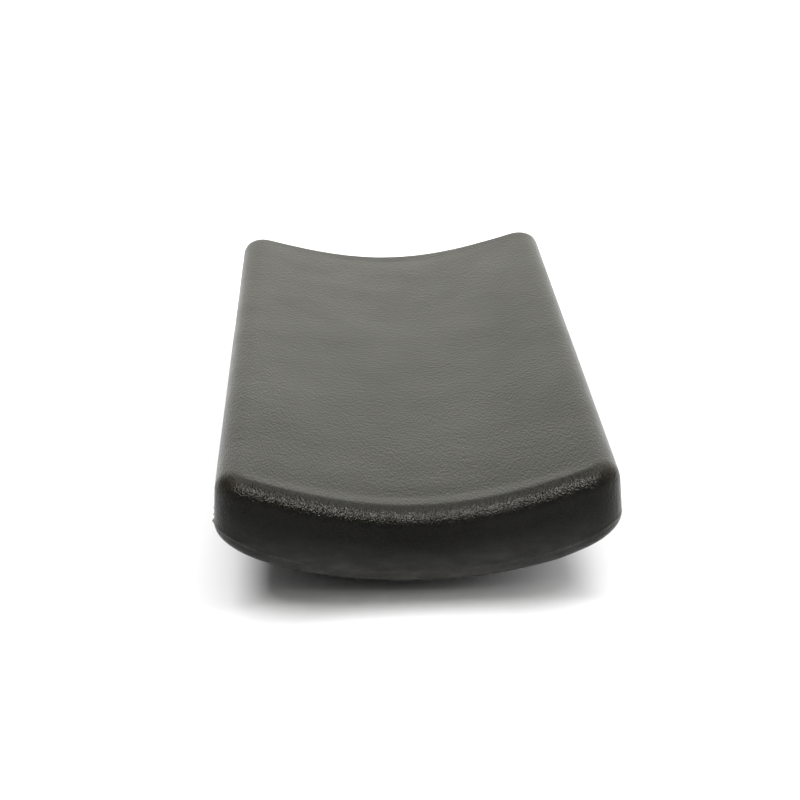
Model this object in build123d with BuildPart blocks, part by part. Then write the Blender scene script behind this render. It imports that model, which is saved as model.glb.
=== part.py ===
"""Chair armrest pad: a gutter-shaped, self-skinned foam moulding on a ribbed plastic carrier.

Millimetres. Y runs along the forearm, X across it, and +Z is up. The origin is the middle of the flat
mounting seat on the underside, which is the lowest face and the one that a chair's arm bracket bolts to.
The section is the same all along Y. Its top is a hollow arc that cradles the forearm, and its underside is
a flatter arc below it, so the pad is nearly as thick at its sides as along its middle.
"""

import os

from build123d import *

# Pad envelope
pad_width = 95.0
pad_length = 250.0
pad_thickness = 17.5
dish_rise = 10.4
belly_rise = 8.9
end_bulge = 1.9
plan_corner_radius = 9.4
top_edge_radius = 5.0
lower_edge_radius = 2.0
skin_thickness = 1.5

# Flat mounting seat and its bolt pattern
seat_drop = 2.5
bolt_spacing_x = 45.0
bolt_spacing_y = 110.0
boss_radius = 7.0

# Carrier, whose open pockets face down
panel_width = 72.0
panel_length = 214.0
panel_corner_radius = 12.0
carrier_depth = 7.5
web_thickness = 2.5
wall_thickness = 2.5
rib_thickness = 2.0
flange_width = 6.0
long_ribs = 3
cross_ribs = 11

# Holes in the flange, which the foam flows through and grips
flow_hole_radius = 1.8
flow_hole_pitch = 18.0
side_flow_holes = 11
end_flow_holes = 3

# Brass insert for an M6 screw, with a groove round its middle
insert_radius = 4.0
insert_length = 9.5
insert_band = 3.5
insert_groove_depth = 0.5
insert_bore_radius = 2.5
insert_chamfer = 0.5

# Space beyond the insert for the end of the screw
screw_relief_radius = 3.2
screw_relief_depth = 1.5

# How close a face's radius is to the one it is picked by
radius_match = 0.01

# Derived sizes
half_width = pad_width / 2
belly_radius = (half_width**2 + belly_rise**2) / (2 * belly_rise)
dish_radius = (half_width**2 + dish_rise**2) / (2 * dish_rise)
belly_axis_height = seat_drop + belly_radius
dish_axis_height = seat_drop + pad_thickness + dish_radius
plan_height = seat_drop + pad_thickness + 2 * dish_rise
web_top_radius = belly_radius - carrier_depth
web_underside_radius = web_top_radius + web_thickness
long_rib_pitch = bolt_spacing_x / 2
cross_rib_pitch = bolt_spacing_y / 6
seat_width = bolt_spacing_x + 2 * boss_radius
seat_length = bolt_spacing_y + 2 * boss_radius


def plan_outline(width, length, corner_radius):
    """The plan of a long rounded rectangle whose two ends bow outwards."""
    half_x = width / 2
    half_y = length / 2
    shoulder = half_y - end_bulge
    with BuildSketch(Plane.XY) as outline:
        with BuildLine():
            Line((half_x, -shoulder), (half_x, shoulder))
            ThreePointArc((half_x, shoulder), (0, half_y), (-half_x, shoulder))
            Line((-half_x, shoulder), (-half_x, -shoulder))
            ThreePointArc((-half_x, -shoulder), (0, -half_y), (half_x, -shoulder))
        make_face()
        fillet(outline.vertices(), corner_radius)
    return outline.sketch


def panel_outline():
    """The plan of the carrier's exposed panel."""
    return plan_outline(panel_width, panel_length, panel_corner_radius)


def gutter(lower_radius, upper_radius, upper_axis_height):
    """A long shell between two round surfaces, the lower one about the belly's axis."""
    with BuildPart() as shell:
        with BuildSketch(Plane.XZ):
            with Locations((0, belly_axis_height)):
                Circle(lower_radius)
            with Locations((0, upper_axis_height)):
                Circle(upper_radius, mode=Mode.SUBTRACT)
        extrude(amount=pad_length, both=True)
    return shell.part


def round_faces(form, radius):
    """The form's cylindrical faces of one radius."""
    cylinders = form.faces().filter_by(GeomType.CYLINDER)
    return cylinders.filter_by(lambda face: abs(face.radius - radius) < radius_match)


def pad_form(inset):
    """The pad's outer form, or the same form with its whole surface moved inwards by inset."""
    dish_arc = dish_radius + inset
    belly_arc = belly_radius - inset
    with BuildPart() as form:
        add(gutter(belly_arc, dish_arc, dish_axis_height))
        with BuildSketch(Plane.XY):
            add(plan_outline(pad_width, pad_length, plan_corner_radius))
            if inset:
                offset(amount=-inset)
        extrude(amount=plan_height, mode=Mode.INTERSECT)
        fillet(round_faces(form, dish_arc).edges(), top_edge_radius - inset)
        fillet(round_faces(form, belly_arc).edges(), lower_edge_radius - inset)
    return form.part


def panel_column():
    """The space that the carrier's panel takes up, from below the seat to the top of its web."""
    with BuildPart() as column:
        with BuildSketch(Plane.XY):
            add(panel_outline())
        extrude(amount=plan_height)
        with BuildSketch(Plane.XZ):
            with Locations((0, belly_axis_height)):
                Circle(web_top_radius)
        extrude(amount=pad_length, both=True, mode=Mode.SUBTRACT)
    return column.part


def rib_grid():
    """The plan of the carrier's ribs: long ones on the bolt lines and the middle, and cross ribs."""
    with BuildSketch(Plane.XY) as grid:
        with GridLocations(long_rib_pitch, 0, long_ribs, 1):
            Rectangle(rib_thickness, panel_length)
        with GridLocations(0, cross_rib_pitch, 1, cross_ribs):
            Rectangle(panel_width, rib_thickness)
    return grid.sketch


def insert_blank():
    """The insert's outside with no bore, standing up from the seat: two bands and a groove."""
    groove_radius = insert_radius - insert_groove_depth
    with BuildPart() as blank:
        with BuildSketch(Plane.XY):
            Circle(groove_radius)
        extrude(amount=insert_length)
        for band_start in (0, insert_length - insert_band):
            with BuildSketch(Plane.XY.offset(band_start)):
                Circle(insert_radius)
            extrude(amount=insert_band)
    return blank.part


# ---- Carrier: its web and flange, the walls and ribs under the web, and the seat ----

with BuildPart() as web:
    add(gutter(web_underside_radius, web_top_radius, belly_axis_height))
    with BuildSketch(Plane.XY):
        add(panel_outline())
        offset(amount=flange_width)
        with GridLocations(panel_width + flange_width, flow_hole_pitch, 2, side_flow_holes):
            Circle(flow_hole_radius, mode=Mode.SUBTRACT)
        with GridLocations(flow_hole_pitch, panel_length + flange_width, end_flow_holes, 2):
            Circle(flow_hole_radius, mode=Mode.SUBTRACT)
    extrude(amount=plan_height, mode=Mode.INTERSECT)

with BuildPart() as ribs:
    add(gutter(belly_radius, web_top_radius, belly_axis_height))
    with BuildSketch(Plane.XY):
        add(panel_outline())
        offset(amount=-wall_thickness, mode=Mode.SUBTRACT)
        add(rib_grid())
        add(panel_outline(), mode=Mode.INTERSECT)
    extrude(amount=plan_height, mode=Mode.INTERSECT)

with BuildPart() as seat:
    with BuildSketch(Plane.XY):
        RectangleRounded(seat_width, seat_length, boss_radius)
        offset(amount=-wall_thickness, mode=Mode.SUBTRACT)
        add(rib_grid())
        with GridLocations(bolt_spacing_x, bolt_spacing_y, 2, 2):
            Circle(boss_radius)
        RectangleRounded(seat_width, seat_length, boss_radius, mode=Mode.INTERSECT)
    extrude(amount=plan_height)
    add(panel_column(), mode=Mode.INTERSECT)

with BuildPart() as carrier:
    add(web.part)
    add(ribs.part)
    add(seat.part)
    with GridLocations(bolt_spacing_x, bolt_spacing_y, 2, 2):
        add(insert_blank(), mode=Mode.SUBTRACT)
        Cylinder(
            screw_relief_radius,
            insert_length + screw_relief_depth,
            align=(Align.CENTER, Align.CENTER, Align.MIN),
            mode=Mode.SUBTRACT,
        )

# ---- Pad moulding: the cellular core round the carrier's flange, and the dense skin it forms ----

with BuildPart() as foam_core:
    add(pad_form(skin_thickness))
    add(panel_column(), mode=Mode.SUBTRACT)
    add(carrier.part, mode=Mode.SUBTRACT)

with BuildPart() as pad_skin:
    add(pad_form(0))
    add(pad_form(skin_thickness), mode=Mode.SUBTRACT)
    add(panel_column(), mode=Mode.SUBTRACT)


# ---- Threaded inserts, one in each boss ----


def threaded_insert(x, y):
    """A brass insert with its mouth in the seat."""
    with BuildPart() as insert:
        with Locations((x, y)):
            add(insert_blank())
            Cylinder(
                insert_bore_radius,
                insert_length,
                align=(Align.CENTER, Align.CENTER, Align.MIN),
                mode=Mode.SUBTRACT,
            )
        mouth = round_faces(insert, insert_bore_radius).edges().group_by(Axis.Z)[0]
        chamfer(mouth, insert_chamfer)
    return insert.part


pieces = {"carrier": carrier.part, "foam_core": foam_core.part, "pad_skin": pad_skin.part}
for end, y in (("front", -bolt_spacing_y / 2), ("rear", bolt_spacing_y / 2)):
    for side, x in (("left", -bolt_spacing_x / 2), ("right", bolt_spacing_x / 2)):
        pieces[f"insert_{end}_{side}"] = threaded_insert(x, y)

os.makedirs("parts", exist_ok=True)
for name, piece in pieces.items():
    piece.label = name
    export_step(piece, f"parts/{name}.step")
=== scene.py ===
"""The looks of the chair armrest pad, in metres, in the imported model's own frame.

The pad's moulding is one mesh made here. It stands for the CAD skin and core, and it fits round the
carrier, which stays as CAD made it. The threaded inserts are made again with their threads and knurls.
"""

import math

import bpy
import numpy as np
from mathutils import Matrix, Vector, noise


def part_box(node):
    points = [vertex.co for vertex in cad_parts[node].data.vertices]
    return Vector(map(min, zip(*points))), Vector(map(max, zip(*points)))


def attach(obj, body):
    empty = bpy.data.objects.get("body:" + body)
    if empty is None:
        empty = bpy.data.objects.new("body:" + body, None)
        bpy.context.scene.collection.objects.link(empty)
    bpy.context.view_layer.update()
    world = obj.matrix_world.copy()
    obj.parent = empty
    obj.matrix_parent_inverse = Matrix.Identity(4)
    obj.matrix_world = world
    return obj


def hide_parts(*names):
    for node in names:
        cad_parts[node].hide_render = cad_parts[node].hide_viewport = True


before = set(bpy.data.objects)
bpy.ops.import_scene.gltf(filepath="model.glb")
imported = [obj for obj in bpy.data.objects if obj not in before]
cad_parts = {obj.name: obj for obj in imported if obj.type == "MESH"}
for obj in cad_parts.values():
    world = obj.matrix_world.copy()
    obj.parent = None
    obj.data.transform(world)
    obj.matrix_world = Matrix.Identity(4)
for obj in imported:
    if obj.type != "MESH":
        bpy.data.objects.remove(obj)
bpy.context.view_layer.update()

MM = 0.001

# ---- Sizes of the moulding, with lengths in millimetres ----

pad_low, pad_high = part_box("pad_skin")
carrier_low, carrier_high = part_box("carrier")
HALF_WIDTH = pad_high.x / MM
HALF_LENGTH = pad_high.y / MM
BELLY_BOTTOM = pad_low.z / MM
THICKNESS = 17.5
END_BULGE = 1.9
PLAN_CORNER = 9.4
DISH_RISE = 9.85
DISH_SHOULDER = 52.4
DISH_SHOULDER_SHARE = 0.27
BELLY_RISE = 8.9
EDGE_LIFT = 1.3
EDGE_LIFT_START = 30.0
END_EDGE_RADIUS = 4.8
SIDE_EDGE_RADIUS = 6.8
DRAFT = math.tan(math.radians(1.5))

PARTING_HEIGHT = 2.8
LOWER_EDGE = 2.2
FLASH_HALF_WIDTH = 0.28
FLASH_REACH = 0.16
# The flash's rings, each as height in its half widths and as a share of its reach
FLASH_RINGS = ((0.4, 0.7), (0.1, 1.0), (-0.2, 0.85), (-0.6, 0.25))
FLASH_FINE_LENGTH = 2.1
FLASH_BROAD_LENGTH = 14
BURR_REACH = 0.6
BURR_LENGTH = 7.0
BURR_SPACING = 1.9

# The faint dip behind each end's rim: where it lies, how wide and deep it is, and how much of that depth
# the far end has
DIP_FROM_END = 10.5
DIP_WIDTH = 5.5
DIP_DEPTH = 0.13
DIP_DEPTH_MIDDLE = 0.2
DIP_MIDDLE_WIDTH = 16
DIP_SHARE_FAR = 0.35
# The waviness of the hollow top, each as height, length and seed
WAVES = ((0.035, 34, 1), (0.016, 13, 2), (0.006, 6, 5))
# How far inside the rim the dip and the waves reach their full height
RIM_EASE = 6

# The carrier's nest in the belly: its mouth, the slot round it for the flange, and its roof
PANEL_HALF_WIDTH = 36.0
PANEL_HALF_LENGTH = 107.0
PANEL_CORNER = 12.0
FLANGE_WIDTH = 6.0
CARRIER_DEPTH = 7.5
WEB_THICKNESS = 2.5
LIP_RADIUS = 0.45

BELLY_RADIUS = (HALF_WIDTH**2 + BELLY_RISE**2) / (2 * BELLY_RISE)
TOP_MIDDLE = BELLY_BOTTOM + THICKNESS

# How many points an outline is drawn with before it is cut into even steps
END_POINTS = 200
BEND_POINTS = 81
# How many steps the moulding is cut into, and how many times the grid over its top is relaxed
CORNER_STEPS = 9
END_STEPS = 78
SIDE_STEPS = 190
RELAXINGS = 400
RIM_STEPS = 15
WALL_STEPS = 12
LOWER_EDGE_STEPS = 9
BELLY_STEPS = 12
# The angle of the lower edge's first ring, in degrees
LOWER_EDGE_START = 8


# ---- Outlines: four sides of points, each running between the middles of two corners ----


def outline_path(half_x, half_y, corner):
    """Dense points of one quarter turn of a bow-ended outline, from the near middle to the right middle."""
    end_radius = (half_x**2 + END_BULGE**2) / (2 * END_BULGE)
    end_centre = -half_y + end_radius
    corner_x = half_x - corner
    corner_y = end_centre - math.sqrt((end_radius - corner) ** 2 - corner_x**2)
    turn = math.atan2(corner_y - end_centre, corner_x)
    end_angles = np.linspace(-math.pi / 2, turn, END_POINTS)
    corner_angles = np.linspace(turn, 0, BEND_POINTS)
    end = np.stack([end_radius * np.cos(end_angles), end_centre + end_radius * np.sin(end_angles)], -1)
    bend_x = corner_x + corner * np.cos(corner_angles)
    bend_y = corner_y + corner * np.sin(corner_angles)
    return end, np.stack([bend_x, bend_y], -1)


def resampled(path, steps):
    """The path's points, evenly spaced along it, without the last one."""
    along = np.concatenate([[0], np.cumsum(np.linalg.norm(np.diff(path, axis=0), axis=1))])
    at = np.linspace(0, along[-1], steps + 1)[:-1]
    return np.stack([np.interp(at, along, path[:, k]) for k in range(2)], -1)


def outline(half_x, half_y, corner):
    """The whole outline, anticlockwise from the middle of the near left corner."""
    end, bend = outline_path(half_x, half_y, corner)
    half_bend = len(bend) // 2
    near_half = np.concatenate([end, bend[1 : half_bend + 1]])
    near = np.concatenate([near_half[:0:-1] * (-1, 1), near_half])
    right_half = np.concatenate([bend[half_bend:], [[half_x, 0]]])
    right = np.concatenate([right_half, right_half[-2::-1] * (1, -1)])
    sides = [
        resampled(near, END_STEPS + 2 * CORNER_STEPS),
        resampled(right, SIDE_STEPS + 2 * CORNER_STEPS),
    ]
    half = np.concatenate(sides)
    return np.concatenate([half, -half])


def outward(points):
    """The outward direction at each point of an anticlockwise outline."""
    tangent = np.roll(points, -1, axis=0) - np.roll(points, 1, axis=0)
    tangent /= np.linalg.norm(tangent, axis=1, keepdims=True)
    return np.stack([tangent[:, 1], -tangent[:, 0]], -1)


# ---- Heights of the moulding's round surfaces ----


def dish(x):
    """Height of the hollow top at x, which eases over towards its shoulders."""
    across = np.abs(x)
    bowl = (across / HALF_WIDTH) ** 2
    shoulder = (1 - np.cos(np.pi * np.minimum(across / DISH_SHOULDER, 1))) / 2
    return TOP_MIDDLE + DISH_RISE * ((1 - DISH_SHOULDER_SHARE) * bowl + DISH_SHOULDER_SHARE * shoulder)


def belly(x, depth=0.0):
    """Height of the underside at x, or of the surface that lies depth above it."""
    radius = BELLY_RADIUS - depth
    return BELLY_BOTTOM + BELLY_RADIUS - np.sqrt(radius**2 - x**2)


def edge_lift(x):
    """How far the underside turns up above its arc towards the two sides."""
    share = np.clip((np.abs(x) - EDGE_LIFT_START) / (HALF_WIDTH - EDGE_LIFT_START), 0, 1)
    return EDGE_LIFT * share**2 * (3 - 2 * share)


def wander(points, scale, seed):
    """Smooth noise from -1 to 1 at each point, with features about 1 / scale across."""
    offset = Vector((seed * 17.3, seed * 5.1, seed * 9.7))
    return np.array([noise.noise(Vector(p) * scale + offset) for p in points])


# ---- The moulding's mesh ----


class Shell:
    """Vertices and faces of a closed surface made of rings, each joined to the one before."""

    def __init__(self):
        self.points = []
        self.faces = []
        self.last = None

    def band(self, inner, outer, count):
        """The faces between two rings of count points."""
        for i in range(count):
            j = (i + 1) % count
            self.faces.append((inner + i, outer + i, outer + j, inner + j))

    def ring(self, plan, height):
        """Adds a ring, and the band between it and the last ring. Returns its first point's number."""
        start = sum(len(p) for p in self.points)
        self.points.append(np.column_stack([plan, np.broadcast_to(height, len(plan))]))
        if self.last is not None:
            self.band(self.last, start, len(plan))
        self.last = start
        return start

    def cap(self, plan, start, height, upwards):
        """Fills a ring with a grid whose border is that ring. height gives the grid's heights."""
        across, along = END_STEPS + 2 * CORNER_STEPS, SIDE_STEPS + 2 * CORNER_STEPS
        ids = np.full((along + 1, across + 1), -1)
        ring_ids = start + np.arange(len(plan))
        ids[0, :] = ring_ids[: across + 1]
        ids[:, across] = ring_ids[across : across + along + 1]
        ids[along, ::-1] = ring_ids[across + along : 2 * across + along + 1]
        ids[::-1, 0] = np.append(ring_ids[2 * across + along :], start)
        edge = {0: plan[: across + 1], 1: plan[across : across + along + 1]}
        edge[2] = plan[across + along : 2 * across + along + 1][::-1]
        edge[3] = np.concatenate([plan[2 * across + along :], plan[:1]])[::-1]
        u = np.linspace(0, 1, across + 1)[None, :, None]
        v = np.linspace(0, 1, along + 1)[:, None, None]
        ruled_v = (1 - v) * edge[0][None] + v * edge[2][None]
        ruled_u = (1 - u) * edge[3][:, None] + u * edge[1][:, None]
        corners = (1 - u) * (1 - v) * edge[0][0] + u * (1 - v) * edge[0][-1]
        corners = corners + (1 - u) * v * edge[2][0] + u * v * edge[2][-1]
        grid = ruled_v + ruled_u - corners
        for _ in range(RELAXINGS):
            beside = grid[1:-1, 2:] + grid[1:-1, :-2] + grid[2:, 1:-1] + grid[:-2, 1:-1]
            grid[1:-1, 1:-1] = beside / 4
        grid = grid[1:-1, 1:-1].reshape(-1, 2)
        first = sum(len(p) for p in self.points)
        self.points.append(np.column_stack([grid, height(grid)]))
        ids[1:-1, 1:-1] = first + np.arange(len(grid)).reshape(along - 1, across - 1)
        for r in range(along):
            for c in range(across):
                quad = (ids[r, c], ids[r, c + 1], ids[r + 1, c + 1], ids[r + 1, c])
                self.faces.append(tuple(int(k) for k in (quad if upwards else quad[::-1])))

    def mesh(self, name):
        mesh = bpy.data.meshes.new(name)
        points = np.concatenate(self.points) * MM
        mesh.from_pydata(points.tolist(), [], self.faces)
        mesh.update()
        mesh.shade_smooth()
        return mesh


def top_height(plan):
    """The hollow top, with the faint dip behind each end's rim and the waviness of a demoulded pad."""
    height = dish(plan[:, 0])
    from_end = HALF_LENGTH - np.abs(plan[:, 1])
    from_side = HALF_WIDTH - np.abs(plan[:, 0])
    spread = np.clip((from_end - END_EDGE_RADIUS) / RIM_EASE, 0, 1)
    spread = spread * np.clip((from_side - SIDE_EDGE_RADIUS) / RIM_EASE, 0, 1)
    deepest = DIP_DEPTH + DIP_DEPTH_MIDDLE * np.exp(-((plan[:, 0] / DIP_MIDDLE_WIDTH) ** 2))
    deepest = np.where(plan[:, 1] < 0, 1.0, DIP_SHARE_FAR) * deepest
    dip = deepest * np.exp(-(((from_end - DIP_FROM_END) / DIP_WIDTH) ** 2))
    flat = np.column_stack([plan, np.zeros(len(plan))])
    waves = sum(size * wander(flat, 1 / length, seed) for size, length, seed in WAVES)
    return height + spread * (waves - dip)


def flash(plan):
    """How far the parting line's thin flash stands out along the outline. It is ragged, and it is torn into
    small burrs behind the near left corner."""
    flat = np.column_stack([plan, np.zeros(len(plan))])
    fine = wander(flat, 1 / FLASH_FINE_LENGTH, 3)
    broad = wander(flat, 1 / FLASH_BROAD_LENGTH, 4)
    rough = np.clip(fine + 0.6 * broad, 0, 1)
    burr_place = np.array([-HALF_WIDTH, -HALF_LENGTH + PLAN_CORNER + BURR_LENGTH])
    near_burr = np.exp(-((np.linalg.norm(plan - burr_place, axis=1) / BURR_LENGTH) ** 4))
    torn = np.clip(2.6 * wander(flat, 1 / BURR_SPACING, 6), 0, 1)
    return FLASH_REACH * (0.55 + 0.7 * rough) + BURR_REACH * near_burr * torn


def moulding():
    """The whole pad: hollow top, rounded rim, walls, parting line, belly, and the carrier's nest."""
    plan = outline(HALF_WIDTH, HALF_LENGTH, PLAN_CORNER)
    out = outward(plan)
    rim = END_EDGE_RADIUS * out[:, 1] ** 2 + SIDE_EDGE_RADIUS * out[:, 0] ** 2
    lean = DRAFT * (THICKNESS - PARTING_HEIGHT)
    shell = Shell()

    def inset(distance):
        return plan - out * np.broadcast_to(distance, len(plan))[:, None]

    def parting(x):
        return belly(x) + edge_lift(x) + PARTING_HEIGHT

    rim_angles = np.radians(np.linspace(90, 0, RIM_STEPS))
    rim_rings = []
    for angle in rim_angles:
        ring = inset(rim * (1 - math.cos(angle)) + lean)
        rim_rings.append((ring, dish(ring[:, 0]) - rim * (1 - math.sin(angle))))
    first_plan, first_height = rim_rings[0]
    start = shell.ring(first_plan, first_height)
    shell.cap(first_plan, start, top_height, True)
    for ring, height in rim_rings[1:]:
        shell.ring(ring, height)
    wall_top_plan, wall_top = rim_rings[-1]
    wall_foot = parting(plan[:, 0]) + FLASH_HALF_WIDTH
    for share in np.linspace(0, 1, WALL_STEPS)[1:]:
        ring = wall_top_plan * (1 - share) + plan * share
        shell.ring(ring, wall_top * (1 - share) + wall_foot * share)
    reach = flash(plan)
    for up, out_share in FLASH_RINGS:
        ring = inset(-reach * out_share)
        shell.ring(ring, parting(plan[:, 0]) + up * FLASH_HALF_WIDTH)
    for angle in np.radians(np.linspace(LOWER_EDGE_START, 90, LOWER_EDGE_STEPS)):
        ring = inset(LOWER_EDGE * (1 - math.cos(angle)))
        drop = (PARTING_HEIGHT - FLASH_HALF_WIDTH) * (1 - math.sin(angle))
        shell.ring(ring, belly(ring[:, 0]) + edge_lift(ring[:, 0]) + drop)
    belly_edge = inset(LOWER_EDGE)
    mouth = outline(PANEL_HALF_WIDTH, PANEL_HALF_LENGTH, PANEL_CORNER)
    mouth_out = outward(mouth)
    lip = mouth + mouth_out * LIP_RADIUS
    for share in np.linspace(0, 1, BELLY_STEPS)[1:]:
        ring = belly_edge * (1 - share) + lip * share
        shell.ring(ring, belly(ring[:, 0]) + edge_lift(ring[:, 0]) * (1 - share))
    for angle in np.radians((30, 60, 90)):
        ring = mouth + mouth_out * LIP_RADIUS * (1 - math.sin(angle))
        shell.ring(ring, belly(ring[:, 0]) + LIP_RADIUS * (1 - math.cos(angle)))
    flange = mouth + mouth_out * FLANGE_WIDTH
    web_underside = CARRIER_DEPTH - WEB_THICKNESS
    shell.ring(mouth, belly(mouth[:, 0], web_underside))
    shell.ring(flange, belly(flange[:, 0], web_underside))
    roof_start = shell.ring(flange, belly(flange[:, 0], CARRIER_DEPTH))
    shell.cap(flange, roof_start, lambda grid: belly(grid[:, 0], CARRIER_DEPTH), False)
    mesh = shell.mesh("pad_moulding")
    piece = bpy.data.objects.new("pad_moulding", mesh)
    bpy.context.scene.collection.objects.link(piece)
    return piece


# ---- The threaded inserts' mesh ----

# Lengths are in millimetres, and the twist is in radians per millimetre of height
INSERT_RADIUS = 4.0
INSERT_BAND = 3.5
INSERT_GROOVE = 0.5
INSERT_BORE = 2.5
INSERT_CHAMFER = 0.5
INSERT_STEPS = 96
KNURLS = 24
KNURL_DEPTH = 0.2
KNURL_TWIST = 2.2
THREAD_PITCH = 1.0
THREAD_DEPTH = 0.5
THREAD_FLAT = 0.15
THREAD_ROWS = 9
BAND_ROWS = 13
BAND_CHAMFER = 0.2


def threaded_insert(name):
    """One brass insert, with diamond knurls on its two bands and an M6 thread down its bore."""
    low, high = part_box(name)
    length = (high.z - low.z) / MM
    turn = np.linspace(0, 2 * math.pi, INSERT_STEPS, endpoint=False)
    circle = np.column_stack([np.cos(turn), np.sin(turn)])
    shell = Shell()

    def ring(radius, height):
        return shell.ring(circle * np.broadcast_to(radius, INSERT_STEPS)[:, None], height)

    def knurled(height):
        twist = KNURL_TWIST * height
        crossing = np.cos(KNURLS * turn + twist) * np.cos(KNURLS * turn - twist)
        return INSERT_RADIUS - KNURL_DEPTH * (1 - crossing) / 2

    first = ring(INSERT_BORE, length)
    for top in (length, INSERT_BAND):
        ring(INSERT_RADIUS - INSERT_GROOVE, top)
        for height in np.linspace(top - BAND_CHAMFER, top - INSERT_BAND + BAND_CHAMFER, BAND_ROWS):
            ring(knurled(height), height)
        ring(INSERT_RADIUS - INSERT_GROOVE, top - INSERT_BAND)
    ring(INSERT_BORE + INSERT_CHAMFER, 0)
    for height in np.linspace(INSERT_CHAMFER, length, int(length - INSERT_CHAMFER) * THREAD_ROWS)[:-1]:
        phase = (height / THREAD_PITCH - turn / (2 * math.pi)) % 1
        groove = np.clip((np.abs(2 * phase - 1) - THREAD_FLAT) / (1 - 2 * THREAD_FLAT), 0, 1)
        runout = np.clip((length - height) / THREAD_PITCH, 0, 1)
        ring(INSERT_BORE + THREAD_DEPTH * groove * runout, height)
    shell.band(shell.last, first, INSERT_STEPS)
    piece = bpy.data.objects.new(f"{name}_threaded", shell.mesh(f"{name}_threaded"))
    piece.location = ((low.x + high.x) / 2, (low.y + high.y) / 2, low.z)
    bpy.context.scene.collection.objects.link(piece)
    return piece


# ---- Node helpers ----


class Nodes:
    """A short way to build a node tree."""

    def __init__(self, tree):
        self.tree = tree
        tree.nodes.clear()

    def add(self, kind, inputs=None, **settings):
        node = self.tree.nodes.new(kind)
        for key, value in settings.items():
            setattr(node, key, value)
        for key, value in (inputs or {}).items():
            if isinstance(value, bpy.types.NodeSocket):
                self.tree.links.new(value, node.inputs[key])
            else:
                node.inputs[key].default_value = value
        return node

    def math(self, operation, a, b=0.0):
        return self.add("ShaderNodeMath", {0: a, 1: b}, operation=operation).outputs[0]

    def remap(self, value, low, high, to_low, to_high):
        given = {"Value": value, "From Min": low, "From Max": high, "To Min": to_low, "To Max": to_high}
        return self.add("ShaderNodeMapRange", given).outputs["Result"]

    def mix(self, share, a, b):
        given = {"Factor": share, "A": a, "B": b}
        node = self.add("ShaderNodeMix", data_type="RGBA")
        for key, value in given.items():
            socket = next(s for s in node.inputs if s.name == key and (key == "Factor" or s.type == "RGBA"))
            if isinstance(value, bpy.types.NodeSocket):
                self.tree.links.new(value, socket)
            else:
                socket.default_value = value
        return next(s for s in node.outputs if s.type == "RGBA")

    def blend(self, share, a, b):
        return self.add("ShaderNodeMix", {"Factor": share, "A": a, "B": b}, data_type="FLOAT").outputs[0]

    def noise(self, place, scale, detail=2.0, roughness=0.5):
        given = {"Vector": place, "Scale": scale, "Detail": detail, "Roughness": roughness}
        return self.add("ShaderNodeTexNoise", given).outputs["Fac"]

    def bump(self, height, distance, strength=1.0, normal=None):
        given = {"Height": height, "Distance": distance, "Strength": strength}
        if normal is not None:
            given["Normal"] = normal
        return self.add("ShaderNodeBump", given).outputs["Normal"]


def new_material(name):
    material = bpy.data.materials.new(name)
    material.use_nodes = True
    return material, Nodes(material.node_tree)


def in_millimetres(nodes, stretch=(1.0, 1.0, 1.0)):
    """The object's own coordinates in millimetres, with a pattern on them stretched along each axis."""
    place = nodes.add("ShaderNodeTexCoord").outputs["Object"]
    scale = tuple(1 / (MM * s) for s in stretch)
    return nodes.add("ShaderNodeVectorMath", {0: place, 1: scale}, operation="MULTIPLY").outputs[0]


# ---- The skin's grain, marks, painted light and painted highlight. Scales are per millimetre, and depths and heights are in millimetres. ----

GRAIN_SCALE = 2.7
GRAIN_SHARE = 0.35
FINE_SCALE = 2.9
GRAIN_DEPTH = 0.2
WALL_GRAIN_LOSS = 0.4
TOP_GRAIN_LOSS = 0.1
BROAD_DEPTH = 0.1
BROAD_STRENGTH = 0.2

# Painted light on the walls: the heights above the underside between which it fades out, how fast it fades,
# and its share towards the sides
PAINTED_LIGHT_LOW = 1.0
PAINTED_LIGHT_HIGH = 11.0
PAINTED_LIGHT_FADE = 1.6
PAINTED_LIGHT_SIDE_SHARE = 0.35
# Painted highlight along the parting line's flash: the distances from the line of its full core and of its
# outer edge
SEAM_HIGHLIGHT_CORE = 0.15
SEAM_HIGHLIGHT_EDGE = 0.4

SKIN_DARK = (0.008, 0.0079, 0.0068, 1)
SKIN_LIGHT = (0.0175, 0.0173, 0.015, 1)
# Painted light, making the foot of the walls lighter
PAINTED_LIGHT_COLOUR = (0.11, 0.11, 0.107, 1)
# Painted highlight, a pale line on the parting line's flash
SEAM_PAINTED_HIGHLIGHT = (0.09, 0.09, 0.086, 1)
RUBBED_COLOUR = (0.05, 0.041, 0.029, 1)
SKIN_SPECULAR = 0.1


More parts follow.
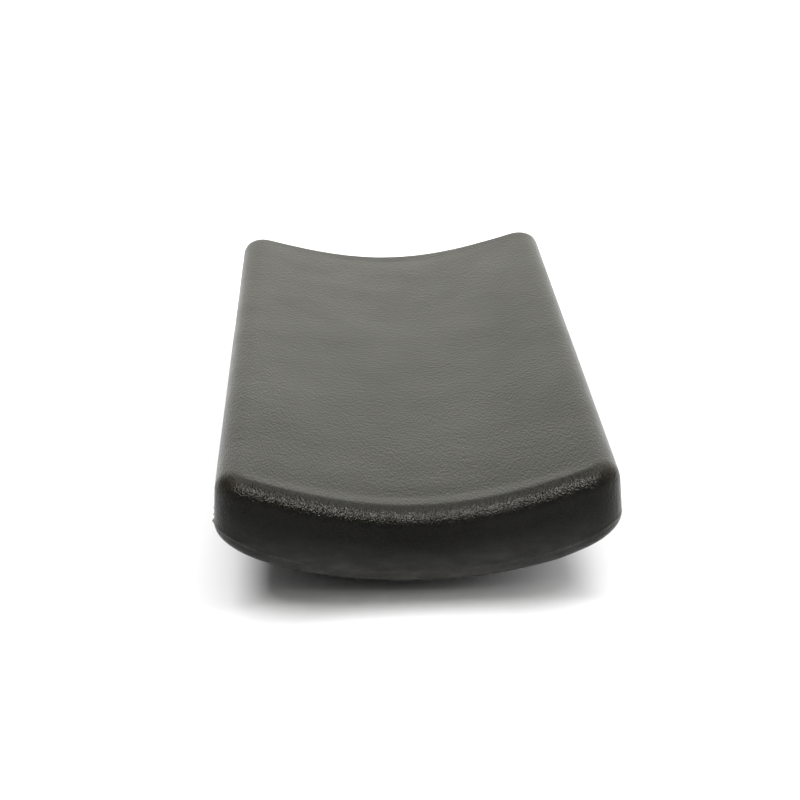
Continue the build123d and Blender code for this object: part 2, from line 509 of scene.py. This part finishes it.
def skin_grain(nodes, place, drawn, normal_z):
    """The skin's bumped normal, and the fine noise in it. The grain is drawn out along the pad. It is a
    little shallower on the top and much shallower on the walls, which also have upright streaks."""
    wall = nodes.remap(nodes.math("ABSOLUTE", normal_z), 0.0, 0.6, 1.0, 0.0)
    top = nodes.remap(normal_z, 0.8, 0.97, 0.0, 1.0)
    given = {"Vector": drawn, "Scale": GRAIN_SCALE, "Randomness": 1.0}
    pebbles = nodes.add("ShaderNodeTexVoronoi", given, feature="SMOOTH_F1").outputs["Distance"]
    pebble_height = nodes.remap(pebbles, 0.05, 0.75, 1.0, 0.0)
    fine = nodes.noise(drawn, FINE_SCALE, 1.0, 0.4)
    streak = nodes.noise(in_millimetres(nodes, (0.9, 0.9, 7.0)), 1.0, 3.0, 0.6)
    grain = nodes.math("ADD", nodes.math("MULTIPLY", pebble_height, GRAIN_SHARE), fine)
    grain = nodes.math("ADD", grain, nodes.math("MULTIPLY", streak, wall))
    depth = nodes.math("SUBTRACT", 1.0, nodes.math("MULTIPLY", wall, WALL_GRAIN_LOSS))
    depth = nodes.math("SUBTRACT", depth, nodes.math("MULTIPLY", top, TOP_GRAIN_LOSS))
    broad = nodes.noise(place, 0.11, 3.0, 0.5)
    normal = nodes.bump(broad, BROAD_DEPTH * MM, BROAD_STRENGTH)
    return nodes.bump(grain, GRAIN_DEPTH * MM, depth, normal), fine


def skin_marks(nodes, place, normal_z):
    """Where the walls are painted lighter towards their foot as painted light, where the parting line's
    flash gets a painted highlight, and where the corners are rubbed.
    """
    spot = nodes.add("ShaderNodeSeparateXYZ", {0: place}).outputs
    across, along = nodes.math("ABSOLUTE", spot["X"]), nodes.math("ABSOLUTE", spot["Y"])
    squared = nodes.math("SUBTRACT", BELLY_RADIUS**2, nodes.math("MULTIPLY", spot["X"], spot["X"]))
    belly_height = nodes.math("SUBTRACT", BELLY_BOTTOM + BELLY_RADIUS, nodes.math("SQRT", squared))
    turn_up = {
        "Value": across,
        "From Min": EDGE_LIFT_START,
        "From Max": HALF_WIDTH,
        "To Min": 0.0,
        "To Max": EDGE_LIFT,
    }
    lift = nodes.add("ShaderNodeMapRange", turn_up, interpolation_type="SMOOTHSTEP").outputs["Result"]
    above = nodes.math("SUBTRACT", nodes.math("SUBTRACT", spot["Z"], belly_height), lift)
    near_side = nodes.remap(across, HALF_WIDTH - 12, HALF_WIDTH - 4, 0.0, 1.0)
    near_end = nodes.remap(along, HALF_LENGTH - 12, HALF_LENGTH - 4, 0.0, 1.0)
    near_edge = nodes.math("MAXIMUM", near_side, near_end)

    patchy = nodes.noise(in_millimetres(nodes, (3.0, 3.0, 1.0)), 0.5, 3.0)
    patches = nodes.remap(patchy, 0.3, 0.7, 0.7, 1.0)
    # Painted light: lighter at the foot of the walls, fading out up them, and strongest in the middle of the
    # ends
    painted_light = nodes.math("MULTIPLY", nodes.remap(above, PAINTED_LIGHT_LOW, PAINTED_LIGHT_HIGH, 1.0, 0.0), patches)
    painted_light = nodes.math("MULTIPLY", nodes.math("POWER", painted_light, PAINTED_LIGHT_FADE), near_edge)
    painted_light = nodes.math("MULTIPLY", painted_light, nodes.remap(across, 18.0, 42.0, 1.0, PAINTED_LIGHT_SIDE_SHARE))

    # Painted highlight: a pale broken line along the flash of the parting line
    off_line = nodes.math("ABSOLUTE", nodes.math("SUBTRACT", above, PARTING_HEIGHT))
    broken = nodes.remap(nodes.noise(place, 0.11, 5.0, 0.75), 0.44, 0.72, 0.0, 1.0)
    seam_highlight = nodes.math("MULTIPLY", nodes.remap(off_line, SEAM_HIGHLIGHT_CORE, SEAM_HIGHLIGHT_EDGE, 1.0, 0.0), broken)
    seam_highlight = nodes.math("MULTIPLY", seam_highlight, near_edge)

    from_corner_x = nodes.remap(across, HALF_WIDTH - 9, HALF_WIDTH - 1, 0.0, 1.0)
    from_corner_y = nodes.remap(along, HALF_LENGTH - 11, HALF_LENGTH - 2, 0.0, 1.0)
    facing_up = nodes.remap(normal_z, 0.1, 0.7, 0.0, 1.0)
    corner = nodes.math("MULTIPLY", nodes.math("MULTIPLY", from_corner_x, from_corner_y), facing_up)
    worn = nodes.remap(nodes.noise(place, 0.35, 3.0), 0.35, 0.7, 0.4, 1.0)
    return painted_light, seam_highlight, nodes.math("MULTIPLY", corner, worn)


def skin_material():
    """Self-skinned polyurethane: near black and satin, with a fine grain and faint mottling."""
    material, nodes = new_material("pu_skin")
    place = in_millimetres(nodes)
    drawn = in_millimetres(nodes, (1.0, 4.0, 1.0))
    true_normal = nodes.add("ShaderNodeNewGeometry").outputs["Normal"]
    normal_z = nodes.add("ShaderNodeSeparateXYZ", {0: true_normal}).outputs["Z"]
    normal, fine = skin_grain(nodes, place, drawn, normal_z)
    painted_light, seam_highlight, rubbed = skin_marks(nodes, place, normal_z)

    mottle = nodes.noise(place, 0.045, 4.0, 0.55)
    speck = nodes.noise(drawn, 3.0, 2.0, 0.6)
    shade = nodes.math("ADD", mottle, nodes.math("MULTIPLY", speck, 1.2))
    colour = nodes.mix(nodes.remap(shade, 0.75, 1.5, 0.0, 1.0), SKIN_DARK, SKIN_LIGHT)
    # Painted light on the foot of the walls
    colour = nodes.mix(painted_light, colour, PAINTED_LIGHT_COLOUR)
    # Painted highlight on the parting line's flash
    colour = nodes.mix(seam_highlight, colour, SEAM_PAINTED_HIGHLIGHT)
    colour = nodes.mix(rubbed, colour, RUBBED_COLOUR)
    rough = nodes.math("ADD", mottle, nodes.math("MULTIPLY", fine, 0.3))
    rough = nodes.remap(rough, 0.35, 0.9, 0.35, 0.28)
    given = {"Base Color": colour, "Roughness": rough, "Normal": normal, "Specular IOR Level": SKIN_SPECULAR}
    shader = nodes.add("ShaderNodeBsdfPrincipled", given)
    nodes.add("ShaderNodeOutputMaterial", {"Surface": shader.outputs[0]})
    return material


CARRIER_DARK = (0.012, 0.012, 0.013, 1)
CARRIER_LIGHT = (0.028, 0.028, 0.029, 1)


def carrier_material():
    """Black glass-filled nylon, with the flow marks and fine spark texture of its mould."""
    material, nodes = new_material("nylon_carrier")
    place = in_millimetres(nodes)
    flow = nodes.noise(in_millimetres(nodes, (1.0, 6.0, 1.0)), 0.25, 4.0, 0.6)
    spark = nodes.noise(place, 5.0, 3.0, 0.7)
    colour = nodes.mix(flow, CARRIER_DARK, CARRIER_LIGHT)
    rough = nodes.remap(nodes.math("ADD", flow, nodes.math("MULTIPLY", spark, 0.5)), 0.4, 1.1, 0.36, 0.58)
    normal = nodes.bump(flow, 0.05 * MM, 0.4)
    normal = nodes.bump(spark, 0.03 * MM, 0.7, normal)
    given = {"Base Color": colour, "Roughness": rough, "Normal": normal}
    shader = nodes.add("ShaderNodeBsdfPrincipled", given)
    nodes.add("ShaderNodeOutputMaterial", {"Surface": shader.outputs[0]})
    return material


BRASS_BRIGHT = (0.72, 0.5, 0.2, 1)
BRASS_TARNISHED = (0.5, 0.33, 0.13, 1)


def brass_material():
    """Turned brass with fine lathe rings and slight tarnish."""
    material, nodes = new_material("turned_brass")
    place = in_millimetres(nodes)
    tarnish = nodes.noise(place, 0.6, 4.0, 0.6)
    rings = nodes.noise(in_millimetres(nodes, (8.0, 8.0, 0.15)), 1.0, 2.0)
    colour = nodes.mix(tarnish, BRASS_BRIGHT, BRASS_TARNISHED)
    rough = nodes.remap(tarnish, 0.3, 0.7, 0.2, 0.42)
    normal = nodes.bump(rings, 0.02 * MM, 0.5)
    given = {"Base Color": colour, "Roughness": rough, "Normal": normal, "Metallic": 1.0}
    shader = nodes.add("ShaderNodeBsdfPrincipled", given)
    nodes.add("ShaderNodeOutputMaterial", {"Surface": shader.outputs[0]})
    return material


# ---- The object ----

pad = moulding()
pad.data.materials.append(skin_material())
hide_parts("pad_skin", "foam_core")
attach(pad, "root")

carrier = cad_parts["carrier"]
carrier.data.materials.clear()
carrier.data.materials.append(carrier_material())

brass = brass_material()
for name in sorted(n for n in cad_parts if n.startswith("insert")):
    insert = threaded_insert(name)
    insert.data.materials.append(brass)
    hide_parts(name)
    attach(insert, "root")


# ---- Floor, lights and camera ----


FLOOR_COLOUR = (0.86, 0.86, 0.87, 1)
FLOOR_HALF = 3.0


def floor():
    """A plain white floor under the pad."""
    material, nodes = new_material("floor_white")
    shader = nodes.add("ShaderNodeBsdfPrincipled", {"Base Color": FLOOR_COLOUR, "Roughness": 0.6})
    nodes.add("ShaderNodeOutputMaterial", {"Surface": shader.outputs[0]})
    half = FLOOR_HALF
    corners = [(-half, -half, 0), (half, -half, 0), (half, half, 0), (-half, half, 0)]
    mesh = bpy.data.meshes.new("floor")
    mesh.from_pydata(corners, [], [(0, 1, 2, 3)])
    mesh.materials.append(material)
    piece = bpy.data.objects.new("floor", mesh)
    bpy.context.scene.collection.objects.link(piece)


def softbox(name, place, size, power, tint=(1, 1, 1), **seen_by):
    """A rectangular light that faces the middle of the pad and that the camera doesn't see. Each seen_by
    says whether one kind of ray, such as glossy, sees it."""
    light = bpy.data.lights.new(name, "AREA")
    light.shape = "RECTANGLE"
    light.size, light.size_y = size
    light.energy = power
    light.color = tint
    lamp = bpy.data.objects.new(name, light)
    lamp.location = place
    lamp.rotation_euler = (-Vector(place)).to_track_quat("-Z", "Y").to_euler()
    lamp.visible_camera = False
    for kind, seen in seen_by.items():
        setattr(lamp, f"visible_{kind}", seen)
    bpy.context.scene.collection.objects.link(lamp)


# Strengths, and directions as azimuth and elevation in degrees. Light is for diffuse surfaces, and glare
# is for reflections.
WINDOW_LIGHT = 6.0
WINDOW_LIGHT_FROM = (20.0, 10.0)
WINDOW_GLARE = 1.33
WINDOW_GLARE_FROM = (8.0, 15.0)
ROOM_LIGHT = 0.14
ROOM_GLARE = 0.35
# The cosines between which the window fades in, from the room's strength to its own
WINDOW_SPREAD = (0.6, 0.95)
GLARE_TINT = (1, 0.995, 0.9, 1)


def surroundings():
    """A room lit from a broad window behind the pad. The camera sees it plain white."""
    world = bpy.data.worlds.new("studio")
    bpy.context.scene.world = world
    world.use_nodes = True
    nodes = Nodes(world.node_tree)
    toward = nodes.add("ShaderNodeTexCoord").outputs["Generated"]

    def glow(azimuth, elevation, dim, bright):
        """Strength dim, rising to bright round a direction given by its angles in degrees."""
        azimuth, elevation = math.radians(azimuth), math.radians(elevation)
        level = math.cos(elevation)
        centre = (math.sin(azimuth) * level, math.cos(azimuth) * level, math.sin(elevation))
        facing = nodes.add("ShaderNodeVectorMath", {0: toward, 1: centre}, operation="DOT_PRODUCT")
        given = {
            "Value": facing.outputs["Value"],
            "From Min": WINDOW_SPREAD[0],
            "From Max": WINDOW_SPREAD[1],
            "To Min": dim,
            "To Max": bright,
        }
        return nodes.add("ShaderNodeMapRange", given, interpolation_type="SMOOTHSTEP").outputs["Result"]

    light = glow(*WINDOW_LIGHT_FROM, ROOM_LIGHT, WINDOW_LIGHT)
    glare = glow(*WINDOW_GLARE_FROM, ROOM_GLARE, WINDOW_GLARE)
    ray = nodes.add("ShaderNodeLightPath").outputs
    strength = nodes.blend(ray["Is Camera Ray"], nodes.blend(ray["Is Glossy Ray"], light, glare), 1.0)
    tint = nodes.mix(ray["Is Glossy Ray"], (1, 1, 1, 1), GLARE_TINT)
    background = nodes.add("ShaderNodeBackground", {"Color": tint, "Strength": strength})
    nodes.add("ShaderNodeOutputWorld", {"Surface": background.outputs[0]})


# Angles in degrees, lengths in millimetres
CAMERA_AZIMUTH = -1.37
CAMERA_ELEVATION = 17.05
CAMERA_ROLL = 1.30
CAMERA_DISTANCE = 680.8
CAMERA_RISE = 11.04
CAMERA_SIDE = 0.92
CAMERA_LENS = 110.7


def camera():
    """The camera stands in front of the pad's near end, a little above it and turned slightly."""
    azimuth, elevation, roll = (math.radians(a) for a in (CAMERA_AZIMUTH, CAMERA_ELEVATION, CAMERA_ROLL))
    right = Vector((math.cos(azimuth), math.sin(azimuth), 0))
    level = Vector((-math.sin(azimuth), math.cos(azimuth), 0))
    ahead = level * math.cos(elevation) - Vector((0, 0, math.sin(elevation)))
    up = right.cross(ahead)
    place = Vector((0, 0, TOP_MIDDLE)) - right * CAMERA_SIDE - ahead * CAMERA_DISTANCE - up * CAMERA_RISE
    turned_right = right * math.cos(roll) - up * math.sin(roll)
    turned_up = right * math.sin(roll) + up * math.cos(roll)
    data = bpy.data.cameras.new("camera")
    data.lens = CAMERA_LENS
    lens = bpy.data.objects.new("camera", data)
    axes = Matrix((turned_right, turned_up, -ahead)).transposed()
    lens.matrix_world = Matrix.Translation(place * MM) @ axes.to_4x4()
    bpy.context.scene.collection.objects.link(lens)
    bpy.context.scene.camera = lens


BLACK_LEVEL = 0.005
WARM = (1.0, 0.98, 0.88)

floor()
# Places and sizes are in metres, and powers in watts
softbox("strip_left", (-0.8, 0.72, 1.34), (1.4, 0.1), 30, glossy=False)
softbox("strip_right", (0.95, 0.7, 1.36), (1.4, 0.1), 21, glossy=False)
softbox("side_right", (1.6, 0.2, 0.8), (0.8, 0.8), 7, glossy=False)
softbox("front", (0.0, -0.66, 1.05), (0.7, 0.3), 45, tint=WARM, diffuse=False)
softbox("ceiling", (0.0, 0.2, 1.4), (1.2, 0.9), 18, tint=WARM, diffuse=False)
softbox("fill", (0.0, -1.2, 0.7), (2.0, 1.6), 1.5, glossy=False)
surroundings()
camera()

view = bpy.context.scene.view_settings
view.view_transform = "Standard"
view.use_curve_mapping = True
view.curve_mapping.black_level = (BLACK_LEVEL,) * 3
view.curve_mapping.update()
